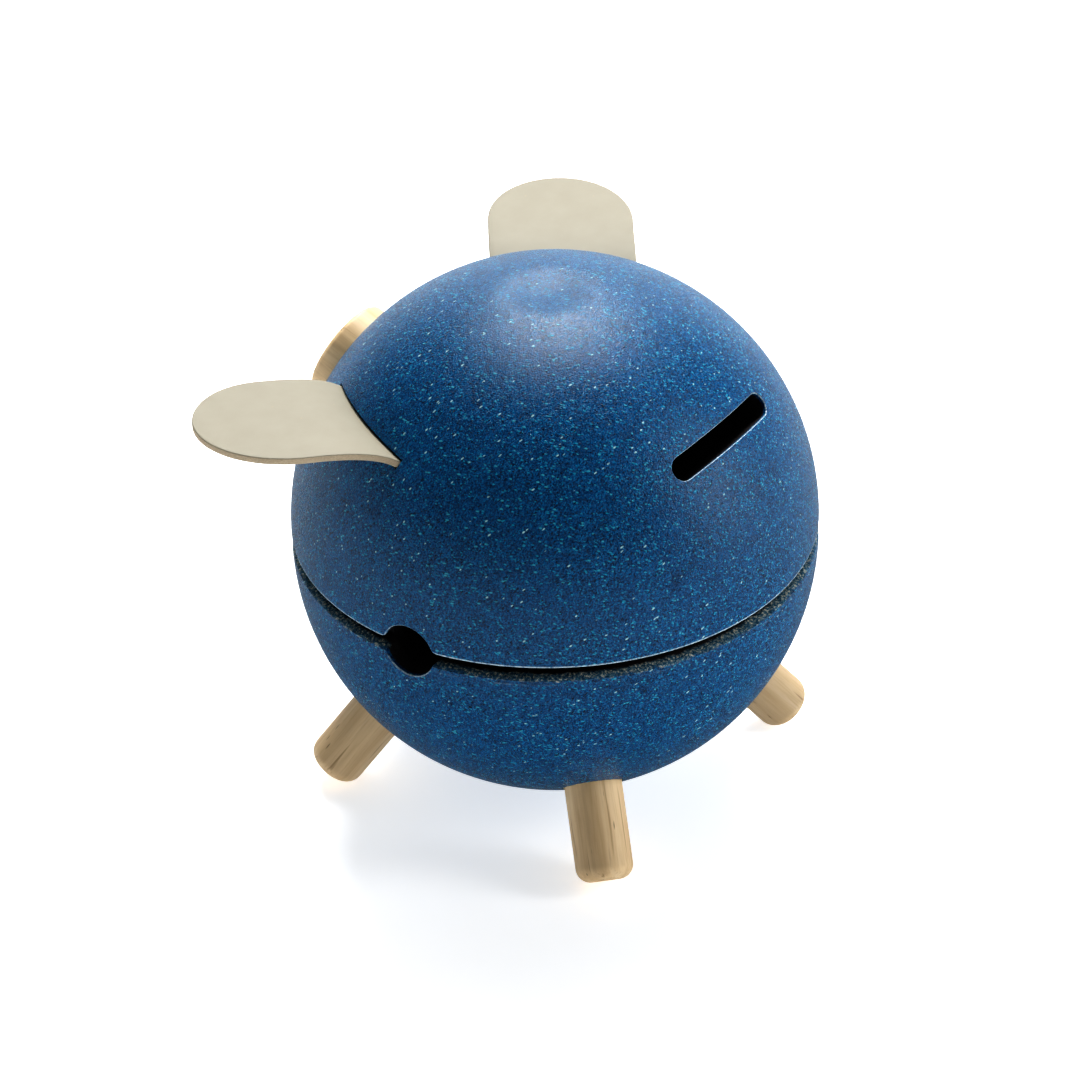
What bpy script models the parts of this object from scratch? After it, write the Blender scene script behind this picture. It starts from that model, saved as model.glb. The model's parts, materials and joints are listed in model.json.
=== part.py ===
"""Round piggy bank: a two-part hollow ball on four dowel legs, with a snout and two bent ears.

Frame: metres, +Z up. The pig faces -Y and its left side is +X. The origin is on the ground,
under the middle of the footprint.
"""
import math

import bmesh
import bpy
from mathutils import Matrix, Vector

# Ball. Heights below are measured from the ball's middle unless a comment says otherwise.
BALL_RADIUS = 0.055
WALL = 0.008
HALF_OFFSET = 0.0017        # each half-ball's centre sits this far above or below the middle
UPPER_RIM_Z = 0.0015        # flat rim of the upper shell
LOWER_RIM_Z = -0.001        # flat rim of the lower shell, leaving an open seam
LEDGE_EDGE_Z = -0.0015      # outer edge of the rim, where its ledge has sloped down
LEDGE_WIDTH = 0.0022

# Dimple pressed into the top of the upper shell.
DIMPLE_RADIUS = 0.0118
DIMPLE_DEPTH = 0.0018

# Ring that is glued in the lower shell and that the upper shell is pushed onto.
RING_OUTER = 0.0502
RING_THICKNESS = 0.0028
RING_HALF_HEIGHT = 0.006
RING_LEAD_IN = 0.0008
GAP = 0.0003                # clearance between neighbouring pieces

# Round finger hole across the seam, on the pig's left.
HOLE_AZIMUTH = math.radians(92)
HOLE_RADIUS = 0.0058
HOLE_FILLET = 0.0016
RING_HOLE_RADIUS = 0.0068   # the gap that the hole leaves in the locating ring

# Coin slot across the pig's back.
SLOT_LENGTH = 0.0326
SLOT_WIDTH = 0.0051
SLOT_ELEVATION = math.radians(39)

# Snout: a short turned disc set in a counterbore.
SNOUT_RADIUS = 0.011
SNOUT_FRONT = 0.0583        # from the upper half's centre to the front face
SNOUT_BACK = 0.0512
SNOUT_ROUNDING = 0.0012
SNOUT_ELEVATION = math.radians(23.5)
NOSTRIL_RADIUS = 0.0021
NOSTRIL_DEPTH = 0.003
NOSTRIL_SPACING = 0.0086

# Legs: dowels that point at one spot near the ball's middle, set in blind sockets.
LEG_RADIUS = 0.006
LEG_END = 0.0789            # from the leg axes' meeting point to the end face
LEG_INNER_END = 0.0538
LEG_ROUNDING = 0.0031
LEG_CHAMFER = 0.0005        # on the end that is hidden in the socket
LEG_AXIS_Z = 0.0041         # height at which the four leg axes meet
LEG_DEPRESSION = math.radians(50.3)
LEG_AZIMUTHS = {
    "front_left_leg": 45,
    "rear_left_leg": 135,
    "rear_right_leg": -135,
    "front_right_leg": -45,
}

# Ears: flexible sheets that leave sloping saw slots and bend level.
EAR_AZIMUTH = math.radians(58.8)    # from straight ahead, towards each side
EAR_ROOT_Z = 0.0358                 # top face of the sheet where the slot's chord ends
EAR_HALF_WIDTH = 0.0158
EAR_THICKNESS = 0.0015
EAR_LENGTH = 0.0350                 # along the bent sheet, outside the ball
EAR_TIP_START = 0.0183              # where the half-oval tip begins
EAR_LEAN = 0.17                     # sideways drift of the sheet towards the front, per metre
EAR_ROOT_SLOPE = math.radians(36)
EAR_END_SLOPE = math.radians(1)
EAR_BEND_LENGTH = 0.0061            # distance over which the slope dies away
EAR_STRAIGHT = 0.0016               # straight stretch before the bend
EAR_TONGUE = 0.005                  # hidden stretch inside the slot
EAR_SLOT_WIDTH = 0.0023

TINY = 1e-5                         # merge distance for turned and welded points

# How finely the round shapes are cut into facets.
SHELL_STEPS = 64            # round the ball and the ring
OUTER_STEPS = 16            # up each half-ball's outer side
INNER_STEPS = 10            # up each half-ball's inner side
DIMPLE_STEPS = 5
SNOUT_STEPS = 40
HOLE_STEPS = 40
LEG_STEPS = 32
NOSTRIL_STEPS = 20
ROUNDING_STEPS = 5          # across each small rounding
SLOT_END_STEPS = 10         # round each end of the coin slot
EAR_BEND_STATIONS = 12
EAR_TIP_STATIONS = 14
EAR_SUBSTEPS = 8            # steps between stations when the bend is summed up
EAR_CROWDING = 1.3          # above 1 crowds the bend's stations towards the ball


def snout_reach():
    """How far the snout's lower front edge stands forward of the ball's axis."""
    along = (SNOUT_FRONT - SNOUT_ROUNDING) * math.cos(SNOUT_ELEVATION)
    across = (SNOUT_RADIUS - SNOUT_ROUNDING) * math.sin(SNOUT_ELEVATION)
    return along + across + SNOUT_ROUNDING


def foot_depth():
    """How far the lowest point of each rounded foot lies below the ball's middle."""
    along = (LEG_END - LEG_ROUNDING) * math.sin(LEG_DEPRESSION)
    across = (LEG_RADIUS - LEG_ROUNDING) * math.cos(LEG_DEPRESSION)
    return along + across + LEG_ROUNDING - LEG_AXIS_Z


BALL_MIDDLE = Vector((0, (snout_reach() - BALL_RADIUS) / 2, foot_depth()))
UPPER_CENTRE = BALL_MIDDLE + Vector((0, 0, HALF_OFFSET))


def clear_scene():
    for item in list(bpy.data.objects):
        bpy.data.objects.remove(item, do_unlink=True)


def new_collection(name):
    collection = bpy.data.collections.new(name)
    bpy.context.scene.collection.children.link(collection)
    return collection


def new_material(name, colour, roughness):
    material = bpy.data.materials.new(name)
    material.use_nodes = True
    shader = material.node_tree.nodes["Principled BSDF"]
    shader.inputs["Base Color"].default_value = (*colour, 1)
    shader.inputs["Roughness"].default_value = roughness
    shader.inputs["Metallic"].default_value = 0
    return material


def azimuth_direction(azimuth, elevation=0.0):
    """Unit vector at an angle from straight ahead (-Y) towards the pig's left (+X)."""
    level = math.cos(elevation)
    return Vector((math.sin(azimuth) * level, -math.cos(azimuth) * level, math.sin(elevation)))


def frame_matrix(x_axis, y_axis, z_axis, place):
    """Matrix whose local axes are the three given unit vectors."""
    rotation = Matrix((x_axis, y_axis, z_axis)).transposed()
    return Matrix.Translation(place) @ rotation.to_4x4()


def outward_matrix(direction, place):
    """Matrix that points local +Z along a direction and keeps local X level."""
    level = Vector((0, 0, 1)).cross(direction).normalized()
    return frame_matrix(level, direction.cross(level), direction, place)


def arc(centre_x, centre_y, radius, start, end, count):
    """Points on an arc, both ends included; the angle runs from +x towards +y."""
    points = []
    for i in range(count + 1):
        angle = start + (end - start) * i / count
        points.append((centre_x + radius * math.cos(angle), centre_y + radius * math.sin(angle)))
    return points


def turned(name, profile, steps, collection):
    """Turn a profile of (radius, height) pairs, given down its outer side, about Z."""
    mesh = bpy.data.meshes.new(name)
    body = bmesh.new()
    points = [body.verts.new((radius, 0, height)) for radius, height in profile]
    for first, second in zip(points, points[1:]):
        body.edges.new((first, second))
    body.to_mesh(mesh)
    body.free()
    piece = bpy.data.objects.new(name, mesh)
    collection.objects.link(piece)
    screw = piece.modifiers.new("turn", "SCREW")
    screw.steps = steps
    screw.render_steps = steps
    screw.use_merge_vertices = True
    screw.merge_threshold = TINY
    screw.use_smooth_shade = True
    return piece


def prism(name, outline, length, collection):
    """Extrude a flat outline to both sides of its plane and return it as a welded mesh."""
    curve = bpy.data.curves.new(name, "CURVE")
    curve.dimensions = "2D"
    curve.fill_mode = "BOTH"
    curve.extrude = length / 2
    spline = curve.splines.new("POLY")
    spline.points.add(len(outline) - 1)
    for point, (x, y) in zip(spline.points, outline):
        point.co = (x, y, 0, 1)
    spline.use_cyclic_u = True
    guide = bpy.data.objects.new(name + "_outline", curve)
    collection.objects.link(guide)
    evaluated = guide.evaluated_get(bpy.context.evaluated_depsgraph_get())
    mesh = bpy.data.meshes.new_from_object(evaluated)
    bpy.data.objects.remove(guide, do_unlink=True)
    body = bmesh.new()
    body.from_mesh(mesh)
    bmesh.ops.remove_doubles(body, verts=body.verts, dist=TINY)
    body.to_mesh(mesh)
    body.free()
    piece = bpy.data.objects.new(name, mesh)
    collection.objects.link(piece)
    return piece


def cylinder(name, radius, bottom, top, sides, collection):
    """Cylinder on local Z from bottom to top."""
    mesh = bpy.data.meshes.new(name)
    body = bmesh.new()
    middle = Matrix.Translation((0, 0, (bottom + top) / 2))
    bmesh.ops.create_cone(body, cap_ends=True, segments=sides, radius1=radius, radius2=radius,
                          depth=top - bottom, matrix=middle)
    body.to_mesh(mesh)
    body.free()
    piece = bpy.data.objects.new(name, mesh)
    collection.objects.link(piece)
    return piece


def block(name, size, centre, collection):
    """Box of a given size about a local centre."""
    mesh = bpy.data.meshes.new(name)
    body = bmesh.new()
    bmesh.ops.create_cube(body, size=1, matrix=Matrix.Translation(centre) @ Matrix.Diagonal((*size, 1)))
    body.to_mesh(mesh)
    body.free()
    piece = bpy.data.objects.new(name, mesh)
    collection.objects.link(piece)
    return piece


def hide_as_cutter(piece):
    piece.hide_render = True
    piece.display_type = "WIRE"


def cut(piece, cutter):
    hide_as_cutter(cutter)
    boolean = piece.modifiers.new(cutter.name, "BOOLEAN")
    boolean.operation = "DIFFERENCE"
    boolean.object = cutter


def sphere_arc(centre_z, radius, start_z, end_z, count):
    """Arc of a half-ball's wall between two heights, as (radius, height) pairs."""
    start = math.asin(max(-1, min(1, (start_z - centre_z) / radius)))
    end = math.asin(max(-1, min(1, (end_z - centre_z) / radius)))
    return arc(0, centre_z, radius, start, end, count)


def dimple_profile(count):
    """Outer surface of the upper shell from the pole to the edge of the dimple."""
    points = []
    for i in range(count):
        radius = DIMPLE_RADIUS * i / count
        dip = DIMPLE_DEPTH * (1 - (radius / DIMPLE_RADIUS) ** 2) ** 2
        points.append((radius, HALF_OFFSET + math.sqrt(BALL_RADIUS ** 2 - radius ** 2) - dip))
    return points


def build_upper_shell(collection):
    inner = BALL_RADIUS - WALL
    dimple_edge_z = HALF_OFFSET + math.sqrt(BALL_RADIUS ** 2 - DIMPLE_RADIUS ** 2)
    rebate_z = RING_HALF_HEIGHT + GAP
    profile = dimple_profile(DIMPLE_STEPS)
    profile += sphere_arc(HALF_OFFSET, BALL_RADIUS, dimple_edge_z, UPPER_RIM_Z, OUTER_STEPS)
    profile += [(RING_OUTER + GAP, UPPER_RIM_Z), (RING_OUTER + GAP, rebate_z)]
    profile += sphere_arc(HALF_OFFSET, inner, rebate_z, HALF_OFFSET + inner, INNER_STEPS)
    profile[-1] = (0, HALF_OFFSET + inner)
    shell = turned("upper_shell", profile, SHELL_STEPS, collection)
    shell.location = BALL_MIDDLE
    return shell


def build_lower_shell(collection):
    inner = BALL_RADIUS - WALL
    rebate_z = -RING_HALF_HEIGHT - GAP
    outer = sphere_arc(-HALF_OFFSET, BALL_RADIUS, LEDGE_EDGE_Z, -HALF_OFFSET - BALL_RADIUS,
                       OUTER_STEPS)
    profile = sphere_arc(-HALF_OFFSET, inner, -HALF_OFFSET - inner, rebate_z, INNER_STEPS)
    profile[0] = (0, -HALF_OFFSET - inner)
    profile += [(RING_OUTER + GAP, rebate_z), (RING_OUTER + GAP, LOWER_RIM_Z)]
    profile += [(outer[0][0] - LEDGE_WIDTH, LOWER_RIM_Z)] + outer
    profile[-1] = (0, -HALF_OFFSET - BALL_RADIUS)
    shell = turned("lower_shell", profile, SHELL_STEPS, collection)
    shell.location = BALL_MIDDLE
    return shell


def build_ring(collection):
    inner = RING_OUTER - RING_THICKNESS
    top = RING_HALF_HEIGHT
    profile = [
        (inner, top),
        (RING_OUTER - RING_LEAD_IN, top),
        (RING_OUTER, top - RING_LEAD_IN),
        (RING_OUTER, -top),
        (inner, -top),
        (inner, top),
    ]
    ring = turned("locating_ring", profile, SHELL_STEPS, collection)
    ring.location = BALL_MIDDLE
    return ring


def hole_outline():
    """Finger hole across the seam, with its corners rounded into both rims, as (y, z) pairs."""
    middle_z = (UPPER_RIM_Z + LOWER_RIM_Z) / 2
    half_seam = (UPPER_RIM_Z - LOWER_RIM_Z) / 2
    fillet_z = half_seam + HOLE_FILLET
    fillet_y = math.sqrt((HOLE_RADIUS + HOLE_FILLET) ** 2 - fillet_z ** 2)
    meet = math.atan2(fillet_z, fillet_y)
    quarter = arc(fillet_y, fillet_z, HOLE_FILLET, math.radians(270), math.pi + meet, ROUNDING_STEPS)
    crown = arc(0, 0, HOLE_RADIUS, meet, math.pi - meet, HOLE_STEPS // 2)
    upper = quarter + crown[1:-1] + [(-y, z) for y, z in reversed(quarter)]
    lower = [(-y, -z) for y, z in upper]
    return [(y, z + middle_z) for y, z in upper + lower]


def cut_finger_hole(shells, ring, cutters):
    """One flared cutter for both shells, and a plain round one for the ring behind them."""
    middle_z = (UPPER_RIM_Z + LOWER_RIM_Z) / 2
    length = 4 * WALL
    out = azimuth_direction(HOLE_AZIMUTH)
    up = Vector((0, 0, 1))
    place = BALL_MIDDLE + out * BALL_RADIUS
    flared = prism("finger_hole_cutter", hole_outline(), length, cutters)
    flared.matrix_world = frame_matrix(up.cross(out), up, out, place)
    for shell in shells:
        cut(shell, flared)
    plain = cylinder("ring_hole_cutter", RING_HOLE_RADIUS, -length / 2, length / 2, HOLE_STEPS, cutters)
    plain.matrix_world = outward_matrix(out, place + up * middle_z)
    cut(ring, plain)


def cut_coin_slot(shell, cutters):
    end = SLOT_LENGTH / 2 - SLOT_WIDTH / 2
    half = SLOT_WIDTH / 2
    quarter = math.pi / 2
    outline = arc(end, 0, half, -quarter, quarter, SLOT_END_STEPS)
    outline += arc(-end, 0, half, quarter, 3 * quarter, SLOT_END_STEPS)
    slot = prism("coin_slot_cutter", outline, 4 * WALL, cutters)
    direction = azimuth_direction(math.pi, SLOT_ELEVATION)
    slot.matrix_world = outward_matrix(direction, UPPER_CENTRE + direction * BALL_RADIUS)
    cut(shell, slot)


def build_snout(collection, cutters):
    corner = SNOUT_RADIUS - SNOUT_ROUNDING
    shoulder = SNOUT_FRONT - SNOUT_ROUNDING
    profile = [(0, SNOUT_FRONT)]
    profile += arc(corner, shoulder, SNOUT_ROUNDING, math.pi / 2, 0, ROUNDING_STEPS)
    profile += [(SNOUT_RADIUS, SNOUT_BACK), (0, SNOUT_BACK)]
    snout = turned("snout", profile, SNOUT_STEPS, collection)
    direction = azimuth_direction(0, SNOUT_ELEVATION)
    snout.matrix_world = outward_matrix(direction, UPPER_CENTRE)
    for side, name in ((-1, "left_nostril_cutter"), (1, "right_nostril_cutter")):
        nostril = cylinder(name, NOSTRIL_RADIUS, SNOUT_FRONT - NOSTRIL_DEPTH,
                           SNOUT_FRONT + NOSTRIL_DEPTH, NOSTRIL_STEPS, cutters)
        shift = Matrix.Translation((side * NOSTRIL_SPACING / 2, 0, 0))
        nostril.matrix_world = outward_matrix(direction, UPPER_CENTRE) @ shift
        cut(snout, nostril)
    return snout


def cut_snout_counterbore(shell, cutters):
    bore = cylinder("snout_counterbore_cutter", SNOUT_RADIUS + GAP, SNOUT_BACK - GAP,
                    SNOUT_FRONT + WALL, SNOUT_STEPS, cutters)
    bore.matrix_world = outward_matrix(azimuth_direction(0, SNOUT_ELEVATION), UPPER_CENTRE)
    cut(shell, bore)


def leg_matrix(azimuth):
    """Local -Z runs out along the leg; the four legs share one starting point."""
    direction = azimuth_direction(math.radians(azimuth), -LEG_DEPRESSION)
    return outward_matrix(-direction, BALL_MIDDLE + Vector((0, 0, LEG_AXIS_Z)))


def build_leg(name, azimuth, collection):
    corner = LEG_RADIUS - LEG_ROUNDING
    profile = [(0, -LEG_INNER_END), (LEG_RADIUS - LEG_CHAMFER, -LEG_INNER_END)]
    profile += [(LEG_RADIUS, -LEG_INNER_END - LEG_CHAMFER)]
    profile += arc(corner, -LEG_END + LEG_ROUNDING, LEG_ROUNDING, 0, -math.pi / 2, ROUNDING_STEPS + 1)
    profile += [(0, -LEG_END)]
    leg = turned(name, profile, LEG_STEPS, collection)
    leg.matrix_world = leg_matrix(azimuth)
    return leg


def cut_leg_socket(shell, name, azimuth, cutters):
    socket = cylinder(name + "_socket_cutter", LEG_RADIUS + GAP, -LEG_END, -LEG_INNER_END + GAP, LEG_STEPS,
                      cutters)
    socket.matrix_world = leg_matrix(azimuth)
    cut(shell, socket)


def ear_matrix(side):
    """Local X runs level out of the ball, Y towards the pig's rear along the slot, Z up.

    The origin is on the middle of the slot's chord, at the sheet's top face. On the right
    side (-1) local Y points forward, so that the frame stays right-handed.
    """
    out = azimuth_direction(side * EAR_AZIMUTH)
    along = Vector((0, 0, 1)).cross(out)
    rise = EAR_ROOT_Z - HALF_OFFSET
    reach = math.sqrt(BALL_RADIUS ** 2 - rise ** 2 - EAR_HALF_WIDTH ** 2)
    return frame_matrix(out, along, Vector((0, 0, 1)), BALL_MIDDLE + out * reach
                        + Vector((0, 0, EAR_ROOT_Z)))


def ear_slope(distance):
    """Slope of the sheet at a distance along it from the slot's chord."""
    past = max(0.0, distance - EAR_STRAIGHT)
    return EAR_END_SLOPE + (EAR_ROOT_SLOPE - EAR_END_SLOPE) * math.exp(-past / EAR_BEND_LENGTH)


def ear_half_width(distance):
    """Half the sheet's width: parallel sides, then a half-oval tip."""
    past = max(0.0, distance - EAR_TIP_START) / (EAR_LENGTH - EAR_TIP_START)
    return EAR_HALF_WIDTH * math.sqrt(max(0.0, 1 - past * past))


def ear_stations():
    """Distances along the sheet, from the hidden end to the tip, closest at the tip."""
    straight = [-EAR_TONGUE, 0, EAR_STRAIGHT]
    bend = []
    for i in range(1, EAR_BEND_STATIONS + 1):
        share = (i / EAR_BEND_STATIONS) ** EAR_CROWDING
        bend.append(EAR_STRAIGHT + (EAR_TIP_START - EAR_STRAIGHT) * share)
    tip = []
    for i in range(1, EAR_TIP_STATIONS + 1):
        share = math.sin(math.pi / 2 * i / EAR_TIP_STATIONS)
        tip.append(EAR_TIP_START + (EAR_LENGTH - EAR_TIP_START) * share)
    return straight + bend + tip


def build_ear(name, side, collection):
    mesh = bpy.data.meshes.new(name)
    body = bmesh.new()
    x, z, last = 0.0, 0.0, 0.0
    rows = []
    for station in ear_stations():
        step = (station - last) / EAR_SUBSTEPS
        for i in range(EAR_SUBSTEPS):
            slope = ear_slope(last + step * (i + 0.5))
            x += math.cos(slope) * step
            z += math.sin(slope) * step
        last = station
        half = ear_half_width(station)
        drift = -EAR_LEAN * max(0.0, station)
        rows.append([body.verts.new((x, side * (drift - half), z))])
        if half > TINY:
            rows[-1].append(body.verts.new((x, side * (drift + half), z)))
    for near, far in zip(rows, rows[1:]):
        body.faces.new(near + far[::-1])
    bmesh.ops.recalc_face_normals(body, faces=body.faces)
    if body.faces[:][-1].normal.z < 0:
        bmesh.ops.reverse_faces(body, faces=body.faces)
    body.to_mesh(mesh)
    body.free()
    ear = bpy.data.objects.new(name, mesh)
    collection.objects.link(ear)
    ear.matrix_world = ear_matrix(side)
    solidify = ear.modifiers.new("sheet", "SOLIDIFY")
    solidify.thickness = EAR_THICKNESS
    solidify.offset = -1
    return ear


def cut_ear_slot(shell, name, side, cutters):
    """Saw slot along the ear's root slope, a little thicker than the sheet above it."""
    length = 2 * (EAR_HALF_WIDTH + GAP)
    deep = EAR_TONGUE + GAP
    proud = 2 * WALL
    spare = EAR_SLOT_WIDTH - EAR_THICKNESS - GAP
    middle = ((proud - deep) / 2, 0, spare - EAR_SLOT_WIDTH / 2)
    slot = block(name + "_slot_cutter", (proud + deep, length, EAR_SLOT_WIDTH), middle, cutters)
    slot.matrix_world = ear_matrix(side) @ Matrix.Rotation(-EAR_ROOT_SLOPE, 4, "Y")
    cut(shell, slot)


def build():
    clear_scene()
    parts = new_collection("piggy_bank")
    cutters = new_collection("cutters")
    composite = new_material("blue_composite", (0.012, 0.085, 0.23), 0.5)
    ring_composite = new_material("ring_composite", (0.006, 0.04, 0.11), 0.7)
    wood = new_material("light_wood", (0.60, 0.42, 0.24), 0.55)
    sheet = new_material("cream_sheet", (0.68, 0.60, 0.46), 0.6)

    upper = build_upper_shell(parts)
    lower = build_lower_shell(parts)
    ring = build_ring(parts)
    cut_finger_hole((upper, lower), ring, cutters)
    cut_coin_slot(upper, cutters)
    snout = build_snout(parts, cutters)
    cut_snout_counterbore(upper, cutters)
    upper.data.materials.append(composite)
    lower.data.materials.append(composite)
    ring.data.materials.append(ring_composite)
    snout.data.materials.append(wood)

    for name, side in (("left_ear", 1), ("right_ear", -1)):
        ear = build_ear(name, side, parts)
        ear.data.materials.append(sheet)
        cut_ear_slot(upper, name, side, cutters)
    for name, azimuth in LEG_AZIMUTHS.items():
        leg = build_leg(name, azimuth, parts)
        leg.data.materials.append(wood)
        cut_leg_socket(lower, name, azimuth, cutters)


build()
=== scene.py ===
"""Looks for the round piggy bank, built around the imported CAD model.

Frame: metres, +Z up. The pig faces -Y and its left side is +X. Each piece made here is a finer
mesh that stands for one CAD node, at the same place and size, and rides on the same body.
"""
import json
import math

import bmesh
import bpy
from mathutils import Euler, Matrix, Vector, noise

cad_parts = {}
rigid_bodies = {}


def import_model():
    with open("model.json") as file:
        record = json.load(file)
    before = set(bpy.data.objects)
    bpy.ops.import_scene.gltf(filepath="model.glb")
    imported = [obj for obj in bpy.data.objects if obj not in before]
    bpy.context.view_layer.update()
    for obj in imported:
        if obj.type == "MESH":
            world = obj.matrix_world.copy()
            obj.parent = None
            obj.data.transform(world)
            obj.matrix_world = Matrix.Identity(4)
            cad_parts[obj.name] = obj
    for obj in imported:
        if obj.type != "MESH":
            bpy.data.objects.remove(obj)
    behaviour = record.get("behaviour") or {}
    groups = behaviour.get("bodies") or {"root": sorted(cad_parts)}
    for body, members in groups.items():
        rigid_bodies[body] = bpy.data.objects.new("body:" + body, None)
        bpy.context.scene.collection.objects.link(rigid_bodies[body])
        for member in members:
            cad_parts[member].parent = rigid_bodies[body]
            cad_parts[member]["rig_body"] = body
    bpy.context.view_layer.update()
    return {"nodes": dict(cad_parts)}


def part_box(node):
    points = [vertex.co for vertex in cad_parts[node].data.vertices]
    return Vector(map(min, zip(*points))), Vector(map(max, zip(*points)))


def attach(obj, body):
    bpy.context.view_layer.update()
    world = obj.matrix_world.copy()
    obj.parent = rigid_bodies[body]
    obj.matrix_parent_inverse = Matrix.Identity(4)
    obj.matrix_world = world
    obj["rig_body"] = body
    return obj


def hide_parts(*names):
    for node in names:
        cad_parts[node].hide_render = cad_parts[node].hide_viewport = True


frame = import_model()

# Sizes of the ball's halves; heights are measured from the ball's middle.
WALL = 0.008
HALF_OFFSET = 0.0017
UPPER_RIM_Z = 0.0015
LOWER_RIM_Z = -0.001
LEDGE_EDGE_Z = -0.0015
LEDGE_WIDTH = 0.0022
DIMPLE_RADIUS = 0.0118
DIMPLE_DEPTH = 0.0018
RING_OUTER = 0.0502
RING_THICKNESS = 0.0028
RING_HALF_HEIGHT = 0.006
RING_LEAD_IN = 0.0008
GAP = 0.0003
LIP = 0.0004                # rounding of the shell's cut edges
UPPER_STEPS = 512           # faces round the upper half
LOWER_STEPS = 600           # faces round the lower half, whose ledge is rough
LEDGE_CORNER = 0.0002       # bevel at the ledge's outer edge
LEDGE_FADE = 0.0016         # stretch below the ledge's edge over which its roughness ends
LEDGE_RELIEF = (0.00016, 0.00007, 0.00010)  # coarse tears, fine tears and slow wear
PAINTED_SHADE_DEPTH = 0.0012         # below this depth a cut shows the bare, rough composite, painted near-black as shade
DIMPLE_ZONE = 0.0505        # above this height the dimple is lacquered all over

# The ball's place comes from the frame.
UPPER_LOW, UPPER_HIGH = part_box("upper_shell")
LOWER_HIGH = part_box("lower_shell")[1]
BALL_RADIUS = (UPPER_HIGH.x - UPPER_LOW.x) / 2
MIDDLE = Vector(((UPPER_LOW.x + UPPER_HIGH.x) / 2, (UPPER_LOW.y + UPPER_HIGH.y) / 2,
                 LOWER_HIGH.z - LOWER_RIM_Z))
UPPER_CENTRE = MIDDLE + Vector((0, 0, HALF_OFFSET))

HOLE_AZIMUTH = math.radians(92)
HOLE_RADIUS = 0.0058
HOLE_FILLET = 0.0016
RING_HOLE_RADIUS = 0.0068

SLOT_LENGTH = 0.0326
SLOT_WIDTH = 0.0051
SLOT_ELEVATION = math.radians(39)
SLOT_LIP = 0.0003
SLOT_POINT_SPACING = 0.0008

SNOUT_RADIUS = 0.011
SNOUT_FRONT = 0.0583
SNOUT_BACK = 0.0512
SNOUT_ROUNDING = 0.0012
SNOUT_ELEVATION = math.radians(23.5)
NOSTRIL_RADIUS = 0.0021
NOSTRIL_DEPTH = 0.003
NOSTRIL_SPACING = 0.0086
NOSTRIL_LIP = 0.0005
SNOUT_STEPS = 128

LEG_RADIUS = 0.006
LEG_END = 0.0789
LEG_INNER_END = 0.0538
LEG_ROUNDING = 0.0031
LEG_AXIS_Z = 0.0041
LEG_DEPRESSION = math.radians(50.3)
LEG_SANDING = 0.004         # how far hand sanding leaves a leg out of round, as a share
SOCKET_CHIP = 0.0009        # how far the drill tears a socket's mouth
LEG_TONES_AND_LIGHT = (1.08, 1.2, 0.84, 1.0)   # how light each leg's wood is, in the order of the azimuths; partly the wood's own colour, partly painted light for how the light falls on each leg
LEG_AZIMUTHS = {
    "front_left_leg": 45,
    "rear_left_leg": 135,
    "rear_right_leg": -135,
    "front_right_leg": -45,
}

EAR_AZIMUTH = math.radians(59.5)
EAR_TWIST = math.radians(-1.1)      # turn of the slot's chord from square to the azimuth
EAR_ROOT_Z = 0.0358
EAR_HALF_WIDTH = 0.0156
EAR_THICKNESS = 0.0015
EAR_ROUNDING = 0.00025
EAR_LENGTH = 0.0350
EAR_TIP_START = 0.0176
EAR_DRIFT = (-0.2684, 2.476)        # sideways drift: first and second power of the distance
EAR_SWAY = {1: 1.0, -1: 0.4}        # share of the drift that each ear takes, by side
EAR_ROOT_SLOPE = math.radians(34)
EAR_END_SLOPE = math.radians(0.8)
EAR_BEND_LENGTH = 0.0061
EAR_TONGUE = 0.0048
EAR_SLOT_WIDTH = 0.0023
EAR_SLOT_SPARE = 0.0005             # open gap above the sheet
EAR_STEP = 0.00005                  # stretch of sheet between two points of its bend
EAR_RIPPLE = 0.00006                # how far the sheet strays from flat

# Pressed composite. Stops are (position, colour).
GROUND_BLUES = ((0.34, (0.0002, 0.018, 0.060)), (0.48, (0.0006, 0.056, 0.155)),
                (0.62, (0.0030, 0.142, 0.345)))
CLOUD_BLUE = (0.001, 0.083, 0.245)
PATCH_BLUE = (0.000, 0.028, 0.085)
# Pale worn lacquer that is also a painted highlight on the rim's lip and the cut edges
PALE_WEAR_AND_HIGHLIGHT = (0.520, 0.660, 0.740)
# Near-black painted shade for the cut walls and the shell's inside
INSIDE_PAINTED_SHADES = ((0.3, (0.010, 0.008, 0.009)), (0.7, (0.034, 0.030, 0.032)))
# Pale crumbs of the seam's rough ledge, made paler in part as painted light for the ledge shaded by the
# upper half
CRUMBS_AND_PAINTED_LIGHT = ((0.36, (0.012, 0.050, 0.090)), (0.49, (0.050, 0.160, 0.240)),
               (0.56, (0.300, 0.350, 0.320)), (0.64, (0.950, 0.900, 0.760)))
FIBRE_SQUEEZE = 0.42                # pattern scale along a fibre, which makes it long
FIBRES = (
    # turn, cells per metre, share of cells left empty, colour
    ((0.3, 0.9, 0.2), 3300, 0.85, (0.006, 0.225, 0.420)),
    ((1.2, -0.4, 0.8), 2700, 0.89, (0.012, 0.310, 0.480)),
    ((-0.7, 0.5, 1.9), 3000, 0.88, (0.003, 0.165, 0.370)),
    ((0.9, 1.7, -0.5), 2300, 0.95, (0.050, 0.390, 0.520)),
    ((2.1, 0.2, 1.1), 2500, 0.986, (0.400, 0.660, 0.700)),
    ((0.1, 2.4, -1.3), 2600, 0.88, (0.001, 0.012, 0.035)),
)

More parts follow.
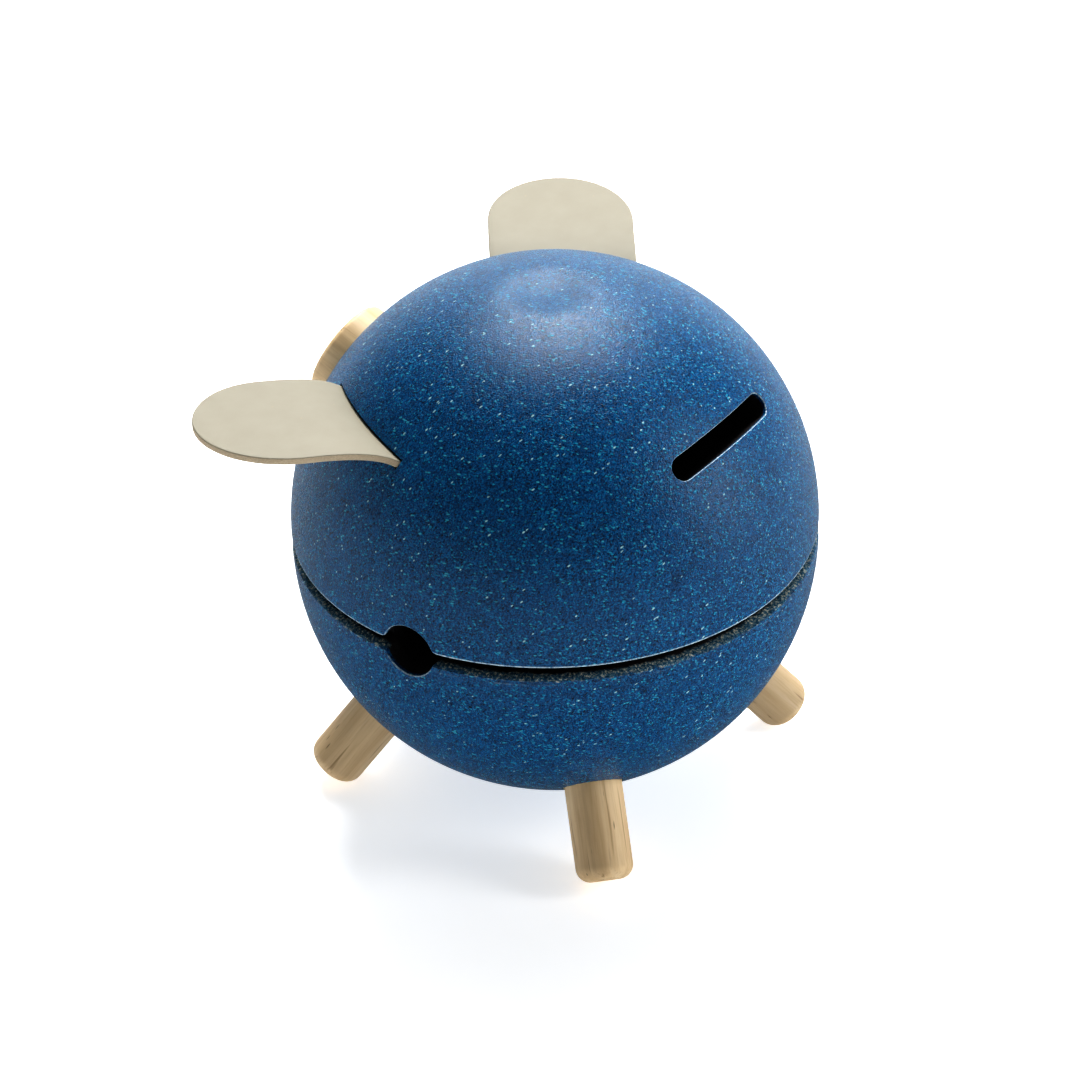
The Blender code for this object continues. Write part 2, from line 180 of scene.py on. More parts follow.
# Softboxes: azimuth, elevation and distance from the ball's middle, width and height, radiance.
SOFTBOXES = {
    "overhead_core": (-60, 55, 1.5, (0.80, 0.60), 16.0),
    "overhead_veil": (-58, 55, 1.6, (1.9, 1.3), 0.7),
    "backdrop_panel": (-60, 13, 1.8, (2.4, 0.85), 1.05),
    "side_strip": (-152, 22, 1.6, (0.32, 0.85), 10.0),
}
FLOOR_HALF_SIZE = 6.0
FLOOR_THICKNESS = 0.02

# Grey of the room by the height of the direction, from straight down to straight up.
ROOM_SHADES = ((-1.0, 0.12), (-0.7, 0.20), (-0.45, 0.55), (-0.08, 0.95), (0.03, 0.20), (0.3, 0.12),
               (1.0, 0.12))

# Camera: direction from the ball's middle, distance, aim and roll.
CAMERA_AZIMUTH = math.radians(125.4075)
CAMERA_ELEVATION = math.radians(33.9549)
CAMERA_DISTANCE = 0.880
CAMERA_AIM = (-0.003268, -0.004086)
CAMERA_ROLL = math.radians(-1.8089)
CAMERA_LENS = 140.66


# ---------------------------------------------------------------- geometry helpers

def azimuth_direction(azimuth, elevation=0.0):
    """Unit vector at an angle from straight ahead (-Y) towards the pig's left (+X)."""
    level = math.cos(elevation)
    return Vector((math.sin(azimuth) * level, -math.cos(azimuth) * level, math.sin(elevation)))


def frame_matrix(x_axis, y_axis, z_axis, place):
    rotation = Matrix((x_axis, y_axis, z_axis)).transposed()
    return Matrix.Translation(place) @ rotation.to_4x4()


def outward_matrix(direction, place):
    """Matrix that points local +Z along a direction and keeps local X level."""
    level = Vector((0, 0, 1)).cross(direction).normalized()
    return frame_matrix(level, direction.cross(level), direction, place)


def arc(centre_x, centre_y, radius, start, end, count):
    points = []
    for i in range(count + 1):
        angle = start + (end - start) * i / count
        points.append((centre_x + radius * math.cos(angle), centre_y + radius * math.sin(angle)))
    return points


def spread(start, end, count):
    return [start + (end - start) * i / count for i in range(count + 1)]


def skin(name, rings, ends_meet=False):
    """Join rings of points into one closed surface.

    A ring of one point closes an end as a fan; an end ring of several points gets one flat cap.
    """
    body = bmesh.new()
    rows = [[body.verts.new(point) for point in ring] for ring in rings]
    pairs = list(zip(rows, rows[1:]))
    if ends_meet:
        pairs.append((rows[-1], rows[0]))
    for near, far in pairs:
        count = max(len(near), len(far))
        for i in range(count):
            j = (i + 1) % count
            corners = (near[i % len(near)], near[j % len(near)], far[j % len(far)], far[i % len(far)])
            body.faces.new(list(dict.fromkeys(corners)))
    if not ends_meet:
        for end in (rows[0], rows[-1]):
            if len(end) > 2:
                body.faces.new(end)
    bmesh.ops.recalc_face_normals(body, faces=body.faces)
    mesh = bpy.data.meshes.new(name)
    body.to_mesh(mesh)
    body.free()
    piece = bpy.data.objects.new(name, mesh)
    bpy.context.scene.collection.objects.link(piece)
    return piece


def lathe(name, profile, steps, ends_meet=False, place_point=None):
    """Turn (radius, height) pairs about Z. place_point may move each point (angle, radius, height)."""
    rings = []
    for radius, height in profile:
        ring = []
        for i in range(steps if radius > 1e-7 else 1):
            angle = 2 * math.pi * i / steps
            r, z = place_point(angle, radius, height) if place_point else (radius, height)
            ring.append((r * math.cos(angle), r * math.sin(angle), z))
        rings.append(ring)
    return skin(name, rings, ends_meet)


def cut(piece, cutters):
    """Take the cutters out of a piece and remove them."""
    for cutter in cutters:
        boolean = piece.modifiers.new(cutter.name, "BOOLEAN")
        boolean.operation = "DIFFERENCE"
        boolean.solver = "MANIFOLD"
        boolean.object = cutter
    bpy.context.view_layer.update()
    evaluated = piece.evaluated_get(bpy.context.evaluated_depsgraph_get())
    mesh = bpy.data.meshes.new_from_object(evaluated)
    piece.modifiers.clear()
    piece.data = mesh
    mesh.name = piece.name
    for cutter in cutters:
        bpy.data.objects.remove(cutter)


def move_mesh(piece, place):
    """Put a piece in its place through its mesh, so that its box is as tight as the piece."""
    piece.data.transform(place)
    return piece


def finish_piece(piece, node, material, crease=40):
    """Smooth-shade a piece, give it its material, and let it stand for its CAD node."""
    piece.data.shade_smooth()
    piece.data.set_sharp_from_angle(angle=math.radians(crease))
    piece.data.materials.clear()
    piece.data.materials.append(material)
    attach(piece, frame["nodes"][node]["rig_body"])
    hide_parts(node)


def lip_stations(rounding, inside, count=7):
    """(offset outwards, depth) pairs that shape the rounded lip of a hole, from outside in.

    The first stretch crosses the surface at a small angle, so that the cut is clean.
    """
    start = math.radians(12)
    proud = 0.0001
    outside = 0.003
    angles = spread(start, math.pi / 2, count)
    stations = [(rounding * (1 - math.sin(a)), rounding * (1 - math.cos(a))) for a in angles]
    run = (stations[0][1] + proud) / math.sin(start)
    stations.insert(0, (stations[0][0] + run * math.cos(start), -proud))
    return [(stations[0][0], -outside)] + stations + [(0, inside)]


# ---------------------------------------------------------------- the ball's halves

def sphere_arc(centre_z, radius, start_z, end_z, count):
    start = math.asin(max(-1, min(1, (start_z - centre_z) / radius)))
    end = math.asin(max(-1, min(1, (end_z - centre_z) / radius)))
    return arc(0, centre_z, radius, start, end, count)


def dimple_profile(count):
    """Outer surface of the upper half from the pole to the edge of its dimple."""
    points = []
    for i in range(count):
        radius = DIMPLE_RADIUS * i / count
        dip = DIMPLE_DEPTH * (1 - (radius / DIMPLE_RADIUS) ** 2) ** 2
        points.append((radius, HALF_OFFSET + math.sqrt(BALL_RADIUS ** 2 - radius ** 2) - dip))
    return points


def make_upper_half():
    inner = BALL_RADIUS - WALL
    dimple_edge_z = HALF_OFFSET + math.sqrt(BALL_RADIUS ** 2 - DIMPLE_RADIUS ** 2)
    rebate_z = RING_HALF_HEIGHT + GAP
    lip_z = UPPER_RIM_Z + LIP
    lip_radius = math.sqrt(BALL_RADIUS ** 2 - (lip_z - HALF_OFFSET) ** 2)
    profile = dimple_profile(24)
    profile += sphere_arc(HALF_OFFSET, BALL_RADIUS, dimple_edge_z, lip_z, 110)[:-1]
    profile += arc(lip_radius - LIP, lip_z, LIP, 0, -math.pi / 2, 6)
    profile += [(radius, UPPER_RIM_Z) for radius in spread(lip_radius - LIP, RING_OUTER + GAP, 6)[1:]]
    profile += [(RING_OUTER + GAP, height) for height in spread(UPPER_RIM_Z, rebate_z, 4)[1:]]
    profile += sphere_arc(HALF_OFFSET, inner, rebate_z, HALF_OFFSET + inner, 24)
    profile[-1] = (0, HALF_OFFSET + inner)
    piece = lathe("upper_half_ball", profile, UPPER_STEPS)
    piece.location = MIDDLE
    cutters = [finger_hole_cutter(1), coin_slot_cutter(), snout_counterbore_cutter()]
    cutters += [ear_slot_cutter(side) for side in (1, -1)]
    cut(piece, cutters)
    return piece


def ledge_point(angle, radius, height):
    """Rough, torn surface of the flat ledge at the lower half's rim."""
    inner = BALL_RADIUS - LEDGE_WIDTH - 0.0006
    if radius < inner or height < LEDGE_EDGE_Z - LEDGE_FADE:
        return radius, height
    fade = 1.0
    if height < LEDGE_EDGE_Z:
        fade = 1 - (LEDGE_EDGE_Z - height) / LEDGE_FADE
    place = Vector((radius * math.cos(angle), radius * math.sin(angle), height))
    coarse = noise.fractal(place * 700, 0.6, 2.2, 4)
    fine = noise.noise(place * 3800)
    coarse_depth, fine_depth, wear_depth = LEDGE_RELIEF
    drop = coarse_depth * coarse + fine_depth * fine
    worn = wear_depth * noise.noise(place * 260 + Vector((7, 3, 1)))
    return radius + fade * (0.4 * drop + worn) - fade * 0.0001, height + fade * (drop + worn)


def make_lower_half():
    inner = BALL_RADIUS - WALL
    rebate_z = -RING_HALF_HEIGHT - GAP
    edge_radius = math.sqrt(BALL_RADIUS ** 2 - (LEDGE_EDGE_Z + HALF_OFFSET) ** 2)
    ledge_start = edge_radius - LEDGE_WIDTH
    profile = sphere_arc(-HALF_OFFSET, inner, -HALF_OFFSET - inner, rebate_z, 24)
    profile[0] = (0, -HALF_OFFSET - inner)
    profile += [(RING_OUTER + GAP, height) for height in spread(rebate_z, LOWER_RIM_Z, 4)[:-1]]
    profile += [(radius, LOWER_RIM_Z) for radius in spread(RING_OUTER + GAP, ledge_start, 4)[:-1]]
    for share in spread(0, 1, 12)[:-1]:
        sag = (LEDGE_EDGE_Z - LOWER_RIM_Z) * share ** 2
        profile.append((ledge_start + (LEDGE_WIDTH - LEDGE_CORNER) * share, LOWER_RIM_Z + sag))
    below = LEDGE_EDGE_Z - LEDGE_CORNER
    faded = below - LEDGE_FADE
    profile += sphere_arc(-HALF_OFFSET, BALL_RADIUS, below, faded, 8)[:-1]
    profile += sphere_arc(-HALF_OFFSET, BALL_RADIUS, faded, -HALF_OFFSET - BALL_RADIUS, 72)
    profile[-1] = (0, -HALF_OFFSET - BALL_RADIUS)
    piece = lathe("lower_half_ball", profile, LOWER_STEPS, place_point=ledge_point)
    piece.location = MIDDLE
    cutters = [finger_hole_cutter(-1)]
    cutters += [leg_socket_cutter(name, azimuth) for name, azimuth in LEG_AZIMUTHS.items()]
    cut(piece, cutters)
    return piece


def hole_outline(half, offset):
    """Finger hole's outline for one half (1 upper, -1 lower), grown by an offset, as (y, z) pairs.

    It runs round the crown and flares out into the rim on both sides, then closes across the seam.
    """
    rim = UPPER_RIM_Z if half > 0 else -LOWER_RIM_Z
    middle = half * (UPPER_RIM_Z + LOWER_RIM_Z) / 2
    flare = HOLE_FILLET - offset
    flare_z = rim - middle + HOLE_FILLET
    flare_y = math.sqrt((HOLE_RADIUS + HOLE_FILLET) ** 2 - flare_z ** 2)
    meet = math.atan2(flare_z, flare_y)
    last = math.radians(266)
    flank_run = 0.0015
    overlap = 0.0007
    quarter = arc(flare_y, flare_z, flare, last, math.pi + meet, 8)
    crown = arc(0, 0, HOLE_RADIUS + offset, meet, math.pi - meet, 40)
    away = Vector(quarter[0]) + Vector((-math.sin(last), math.cos(last))) * flank_run
    flank = [(away.x, rim - middle - overlap), tuple(away)] + quarter
    outline = flank + crown[1:-1] + [(-y, z) for y, z in reversed(flank)]
    return [(y, half * (z + middle)) for y, z in outline]


def finger_hole_matrix():
    """Local X runs out through the hole, at the ball's middle."""
    out = azimuth_direction(HOLE_AZIMUTH)
    return frame_matrix(out, Vector((0, 0, 1)).cross(out), Vector((0, 0, 1)), MIDDLE)


def finger_hole_cutter(half):
    centre_z = half * HALF_OFFSET
    rings = []
    for offset, depth in lip_stations(LIP, WALL + 0.004):
        ring = []
        for y, z in hole_outline(half, offset):
            reach = (BALL_RADIUS - depth) ** 2 - y ** 2 - (z - centre_z) ** 2
            ring.append((math.sqrt(reach), y, z))
        rings.append(ring)
    cutter = skin("finger_hole_cutter", rings)
    cutter.matrix_world = finger_hole_matrix()
    return cutter


def stadium(length, width, offset, count=16):
    end = (length - width) / 2
    half = width / 2 + offset
    quarter = math.pi / 2
    return arc(end, 0, half, -quarter, quarter, count) + arc(-end, 0, half, quarter, 3 * quarter, count)


def coin_slot_cutter():
    straight = SLOT_LENGTH - SLOT_WIDTH
    count = math.ceil(straight / SLOT_POINT_SPACING)
    rings = []
    for offset, depth in lip_stations(SLOT_LIP, WALL + 0.006):
        half_ring = stadium(SLOT_LENGTH, SLOT_WIDTH, offset)
        middle = len(half_ring) // 2
        ring = []
        for arm in (half_ring[:middle], half_ring[middle:]):
            ring += arm
            start, step = Vector(arm[-1]), -2 * arm[-1][0] / count
            ring += [(start.x + step * i, start.y) for i in range(1, count)]
        rings.append([(x, y, math.sqrt((BALL_RADIUS - depth) ** 2 - x * x - y * y)) for x, y in ring])
    cutter = skin("coin_slot_cutter", rings)
    cutter.matrix_world = outward_matrix(azimuth_direction(math.pi, SLOT_ELEVATION), UPPER_CENTRE)
    return cutter


# ---------------------------------------------------------------- ring, snout and legs

def make_ring():
    inner = RING_OUTER - RING_THICKNESS
    top = RING_HALF_HEIGHT
    profile = [(inner, top), (RING_OUTER - RING_LEAD_IN, top), (RING_OUTER, top - RING_LEAD_IN)]
    profile += [(RING_OUTER, -top), (inner, -top)]
    piece = lathe("inner_ring", profile, 256, ends_meet=True)
    piece.location = MIDDLE
    hole = lathe("ring_hole_cutter", [(RING_HOLE_RADIUS, -WALL), (RING_HOLE_RADIUS, WALL)], 48)
    out = azimuth_direction(HOLE_AZIMUTH)
    level = Vector((0, 0, (UPPER_RIM_Z + LOWER_RIM_Z) / 2))
    hole.matrix_world = outward_matrix(out, MIDDLE + out * RING_OUTER + level)
    cut(piece, [hole])
    return piece


def snout_matrix():
    return outward_matrix(azimuth_direction(0, SNOUT_ELEVATION), UPPER_CENTRE)


def make_snout():
    corner = SNOUT_RADIUS - SNOUT_ROUNDING
    shoulder = SNOUT_FRONT - SNOUT_ROUNDING
    profile = [(radius, SNOUT_FRONT) for radius in spread(0, corner, 14)[:-1]]
    profile += arc(corner, shoulder, SNOUT_ROUNDING, math.pi / 2, 0, 10)
    profile += [(SNOUT_RADIUS, height) for height in spread(shoulder, SNOUT_BACK, 12)[1:]]
    profile += [(0, SNOUT_BACK)]
    piece = move_mesh(lathe("snout_disc", profile, SNOUT_STEPS), snout_matrix())
    cutters = []
    for side in (-1, 1):
        rings = []
        for offset, depth in lip_stations(NOSTRIL_LIP, NOSTRIL_DEPTH):
            x = side * NOSTRIL_SPACING / 2
            outline = arc(x, 0, NOSTRIL_RADIUS + offset, 0, 2 * math.pi, 40)[:-1]
            rings.append([(px, py, SNOUT_FRONT - depth) for px, py in outline])
        nostril = skin("nostril_cutter", rings)
        nostril.matrix_world = snout_matrix()
        cutters.append(nostril)
    cut(piece, cutters)
    return piece


def snout_counterbore_cutter():
    radius = SNOUT_RADIUS + GAP / 2
    ends = [(radius, SNOUT_BACK - GAP), (radius, SNOUT_FRONT + WALL)]
    cutter = lathe("snout_counterbore_cutter", ends, SNOUT_STEPS)
    cutter.matrix_world = snout_matrix()
    return cutter


def leg_matrix(azimuth):
    """Local -Z runs out along the leg; the four legs share one starting point."""
    direction = azimuth_direction(math.radians(azimuth), -LEG_DEPRESSION)
    return outward_matrix(-direction, MIDDLE + Vector((0, 0, LEG_AXIS_Z)))


def make_leg(name, azimuth):
    seed = Vector((azimuth, 1, 2))
    corner = LEG_RADIUS - LEG_ROUNDING
    straight_end = -LEG_END + LEG_ROUNDING
    profile = [(0, -LEG_INNER_END)]
    profile += [(LEG_RADIUS, height) for height in spread(-LEG_INNER_END, straight_end, 40)[:-1]]
    profile += arc(corner, straight_end, LEG_ROUNDING, 0, -math.pi / 2, 16)
    profile += [(radius, -LEG_END) for radius in spread(corner, 0, 6)[1:]]

    def hand_sanded(angle, radius, height):
        around = Vector((math.cos(angle), math.sin(angle), height * 60)) + seed
        return radius * (1 + LEG_SANDING * noise.noise(around)), height

    return move_mesh(lathe(name + "_dowel", profile, 96, place_point=hand_sanded), leg_matrix(azimuth))


def leg_socket_cutter(name, azimuth):
    """Blind socket whose mouth is slightly torn, as the drill leaves it."""
    seed = Vector((3, azimuth, 5))
    heights = [-LEG_END] + spread(-LEG_INNER_END - 0.006, -LEG_INNER_END - 0.0008, 26)
    heights += [-LEG_INNER_END + GAP / 2]

    def torn(angle, radius, height):
        around = Vector((math.cos(angle) * 14, math.sin(angle) * 14, height * 2500)) + seed
        chip = max(0.0, noise.noise(around) - 0.15) + 0.25 * max(0.0, noise.noise(around * 2.7))
        return radius + SOCKET_CHIP * chip, height

    cutter = lathe(name + "_socket_cutter", [(LEG_RADIUS + GAP, height) for height in heights], 160,
                   place_point=torn)
    cutter.matrix_world = leg_matrix(azimuth)
    return cutter


# ---------------------------------------------------------------- ears

def ear_matrix(side):
    """Local X runs level out of the ball, Y along the slot, Z up; origin on the slot's chord."""
    out = azimuth_direction(side * (EAR_AZIMUTH + EAR_TWIST))
    middle = azimuth_direction(side * EAR_AZIMUTH)
    along = Vector((0, 0, 1)).cross(out)
    rise = EAR_ROOT_Z - HALF_OFFSET
    reach = math.sqrt(BALL_RADIUS ** 2 - rise ** 2 - EAR_HALF_WIDTH ** 2)
    place = MIDDLE + middle * reach + Vector((0, 0, EAR_ROOT_Z))
    return frame_matrix(out, along, Vector((0, 0, 1)), place)


def ear_slope(distance):
    past = max(0.0, distance)
    return EAR_END_SLOPE + (EAR_ROOT_SLOPE - EAR_END_SLOPE) * math.exp(-past / EAR_BEND_LENGTH)


def ear_curve():
    """Points (x, z) of the bent sheet's top face, one every EAR_STEP along it."""
    x, z = 0.0, 0.0
    points = [(x, z)]
    for i in range(int(EAR_LENGTH / EAR_STEP) + 2):
        slope = ear_slope((i + 0.5) * EAR_STEP)
        x += EAR_STEP * math.cos(slope)
        z += EAR_STEP * math.sin(slope)
        points.append((x, z))
    return points


def ear_bend(distance, curve):
    """Where the bent sheet's top face is at a distance along it: x, z and slope."""
    slope = ear_slope(distance)
    if distance <= 0:
        return distance * math.cos(slope), distance * math.sin(slope), slope
    i = min(int(distance / EAR_STEP), len(curve) - 2)
    share = distance / EAR_STEP - i
    (x0, z0), (x1, z1) = curve[i], curve[i + 1]
    return x0 + (x1 - x0) * share, z0 + (z1 - z0) * share, slope


def ear_half_width(distance):
    past = max(0.0, distance - EAR_TIP_START) / (EAR_LENGTH - EAR_TIP_START)
    return EAR_HALF_WIDTH * math.sqrt(max(0.0, 1 - past * past))


def ear_outline():
    """Stations (distance, half width) from the hidden end to the tip."""
    stations = spread(-EAR_TONGUE, 0, 6)[:-1] + spread(0, EAR_TIP_START, 60)[:-1]
    for angle in spread(0, math.pi / 2, 64):
        stations.append(EAR_TIP_START + (EAR_LENGTH - EAR_TIP_START) * math.sin(angle))
    return [(station, ear_half_width(station)) for station in stations]


def ear_edge_normals(stations):
    """Outward direction of the outline's +Y side in the flat sheet, as (along, across) pairs."""
    normals = []
    for i in range(len(stations)):
        near = stations[max(0, i - 1)]
        far = stations[min(len(stations) - 1, i + 1)]
        run = Vector((far[0] - near[0], far[1] - near[1]))
        if i == len(stations) - 1:
            run = Vector((0, -1))
        run.normalize()
        normals.append((-run.y, run.x))
    return normals


def make_ear(name, side):
    """Flat teardrop with rounded edges, laid out in rows across the sheet and then bent."""
    stations = ear_outline()
    normals = ear_edge_normals(stations)
    curve = ear_curve()
    columns = 28
    round_steps = 4

    def bent(distance, across, depth):
        x, z, slope = ear_bend(distance, curve)
        drift = 0.0
        if distance > 0:
            drift = EAR_SWAY[side] * (EAR_DRIFT[0] * distance + EAR_DRIFT[1] * distance ** 2)
        ripple = EAR_RIPPLE * noise.noise(Vector((distance * 90, across * 90, side * 5)))
        lift = depth + ripple * min(1.0, max(0.0, distance / 0.004))
        return (x - lift * math.sin(slope), side * (drift + across), z + lift * math.cos(slope))

    rings = []
    for (distance, half), (along, across) in zip(stations, normals):
        ring = []
        flat_half = max(0.0, half - EAR_ROUNDING * across)
        for share in spread(-1, 1, columns):
            ring.append(bent(distance - EAR_ROUNDING * along, share * flat_half, 0))
        for angle in spread(0, math.pi / 2, round_steps)[1:]:
            inset = EAR_ROUNDING * (1 - math.sin(angle))
            drop = -EAR_ROUNDING * (1 - math.cos(angle))
            ring.append(bent(distance - inset * along, half - inset * across, drop))
        for angle in spread(0, math.pi / 2, round_steps):
            inset = EAR_ROUNDING * (1 - math.cos(angle))
            drop = -EAR_THICKNESS + EAR_ROUNDING * (1 - math.sin(angle))
            ring.append(bent(distance - inset * along, half - inset * across, drop))
        for share in spread(1, -1, columns)[1:]:
            ring.append(bent(distance - EAR_ROUNDING * along, share * flat_half, -EAR_THICKNESS))
        for angle in spread(math.pi / 2, 0, round_steps)[1:]:
            inset = EAR_ROUNDING * (1 - math.cos(angle))
            drop = -EAR_THICKNESS + EAR_ROUNDING * (1 - math.sin(angle))
            ring.append(bent(distance - inset * along, inset * across - half, drop))
        for angle in spread(math.pi / 2, 0, round_steps)[:-1]:
            inset = EAR_ROUNDING * (1 - math.sin(angle))
            drop = -EAR_ROUNDING * (1 - math.cos(angle))
            ring.append(bent(distance - inset * along, inset * across - half, drop))
        rings.append(ring)
    piece = skin(name + "_sheet", rings)
    body = bmesh.new()
    body.from_mesh(piece.data)
    bmesh.ops.remove_doubles(body, verts=body.verts, dist=0.000004)
    body.to_mesh(piece.data)
    body.free()
    return move_mesh(piece, ear_matrix(side))


def ear_slot_cutter(side):
    length = EAR_HALF_WIDTH + GAP
    deep = EAR_TONGUE + GAP
    proud = 2 * WALL
    low = EAR_SLOT_SPARE - EAR_SLOT_WIDTH
    corners = [(-deep, low), (proud, low), (proud, EAR_SLOT_SPARE), (-deep, EAR_SLOT_SPARE)]
    rings = [[(x, y, z) for x, z in corners] for y in spread(-length, length, 40)]
    cutter = skin("ear_slot_cutter", rings)
    cutter.matrix_world = ear_matrix(side) @ Matrix.Rotation(-EAR_ROOT_SLOPE, 4, "Y")
    return cutter


# ---------------------------------------------------------------- materials

class Nodes:
    """Small helper that adds and links shader nodes."""

    def __init__(self, name):
        self.material = bpy.data.materials.new(name)
        self.material.use_nodes = True
        self.tree = self.material.node_tree
        self.shader = self.tree.nodes["Principled BSDF"]

    def put(self, socket, value):
        if isinstance(value, bpy.types.NodeSocket):
            self.tree.links.new(value, socket)
        else:
            socket.default_value = value

    def add(self, kind, inputs=None, **settings):
        node = self.tree.nodes.new("ShaderNode" + kind)
        for key, value in settings.items():
            setattr(node, key, value)
        for key, value in (inputs or {}).items():
            self.put(node.inputs[key], value)
        return node

    def math(self, operation, first, second=0.0):
        return self.add("Math", {0: first, 1: second}, operation=operation).outputs[0]

    def place(self, scale=(1, 1, 1), shift=(0, 0, 0), local=None):
        """The piece's coordinates, taken into a local frame if one is given, then scaled."""
        vector = self.add("TexCoord").outputs["Object"]
        if local is not None:
            into = {"Vector": vector, "Location": local.translation, "Rotation": local.to_euler()}
            vector = self.add("Mapping", into, vector_type="TEXTURE").outputs[0]
        return self.add("Mapping", {"Vector": vector, "Scale": scale, "Location": shift}).outputs[0]

    def ease(self, value, low, high, start=0.0, end=1.0):
        """Carry a value between two limits over to another pair of limits."""
        limits = {"Value": value, "From Min": low, "From Max": high, "To Min": start, "To Max": end}
        return self.add("MapRange", limits).outputs[0]

    def band(self, value, low, low_end, high, high_end):
        """1 between two heights, with a soft start and a soft end."""
        rise = self.ease(value, low, low_end)
        return self.math("MULTIPLY", rise, self.ease(value, high, high_end, 1.0, 0.0))

    def noise(self, vector, scale, detail=2.0, roughness=0.5):
        node = self.add("TexNoise", {"Vector": vector, "Scale": scale, "Detail": detail,
                                     "Roughness": roughness})
        return node.outputs["Fac"]

    def cells(self, vector, scale):
        """Voronoi cells: distance from each cell's middle, and one chance from 0 to 1 a cell."""
        node = self.add("TexVoronoi", {"Vector": vector, "Scale": scale})
        chance = self.add("SeparateColor", {0: node.outputs["Color"]})
        return node.outputs["Distance"], chance.outputs[0]

    def ramp(self, value, stops):
        """Map a value through (position, colour) stops."""
        node = self.add("ValToRGB", {0: value})
        elements = node.color_ramp.elements
        while len(elements) < len(stops):
            elements.new(0.5)
        for element, (position, colour) in zip(elements, stops):
            element.position = position
            element.color = (*colour, 1)
        return node.outputs[0]

    def mix(self, share, first, second, blend="MIX"):
        node = self.add("Mix", data_type="RGBA", blend_type=blend)
        self.put(node.inputs[0], share)
        self.put(node.inputs[6], (*first, 1) if isinstance(first, tuple) else first)
        self.put(node.inputs[7], (*second, 1) if isinstance(second, tuple) else second)
        return node.outputs[2]

    def bump(self, height, distance, strength, under=None):
        node = self.add("Bump", {"Height": height, "Distance": distance, "Strength": strength})
        if under is not None:
            self.put(node.inputs["Normal"], under)
        return node.outputs[0]

    def set(self, **values):
        for key, value in values.items():
            self.put(self.shader.inputs[key.replace("_", " ")], value)
        return self.material


def pressed_fibres(n, plain):
    """Colour and relief of the composite: a mottled ground with fibres lying every way."""
    grit = n.noise(plain, 2900, 2, 0.6)
    colour = n.ramp(grit, GROUND_BLUES)
    cloud = n.noise(plain, 75, 3, 0.6)
    colour = n.mix(n.ease(cloud, 0.35, 0.75, 0.0, 0.35), colour, CLOUD_BLUE)
    patch = n.noise(plain, 330, 3, 0.6)
    colour = n.mix(n.ease(patch, 0.50, 0.72, 0.0, 0.45), colour, PATCH_BLUE)
    relief = grit
    for turn, density, rarity, tint in FIBRES:
        spot = n.place(scale=(1, 1, FIBRE_SQUEEZE), local=Euler(turn).to_matrix().to_4x4())
        distance, chance = n.cells(spot, density)
        chosen = n.math("GREATER_THAN", chance, rarity)
        share = n.math("MULTIPLY", chosen, n.ease(distance, 0.30, 0.52, 1.0, 0.0))
        colour = n.mix(share, colour, tint)
        relief = n.math("ADD", relief, n.math("MULTIPLY", share, 0.4))
    return colour, relief


def wear_and_highlight_share(n, half, plain, radius, height, below_dimple):
    """How pale handling has worn the lacquer round the cut edges and along the upper rim; this pale line is
    also a painted highlight on these edges.
    """
    shallow = n.band(radius, BALL_RADIUS - 0.00042, BALL_RADIUS - 0.00028,
                     BALL_RADIUS - 0.00008, BALL_RADIUS - 0.00003)
    if half > 0:
        low, high = UPPER_RIM_Z + 0.00010, UPPER_RIM_Z + 0.00045
        line = n.band(height, low, low + 0.00005, high, high + 0.00010)
        edges = n.math("MAXIMUM", n.math("MULTIPLY", shallow, below_dimple), line)
    else:
        edges = n.math("MULTIPLY", shallow, n.ease(height, -0.0030, -0.0024, 1.0, 0.0))
    return n.math("MULTIPLY", edges, n.ease(n.noise(plain, 1400, 3, 0.7), 0.36, 0.52, 0.15, 0.85))


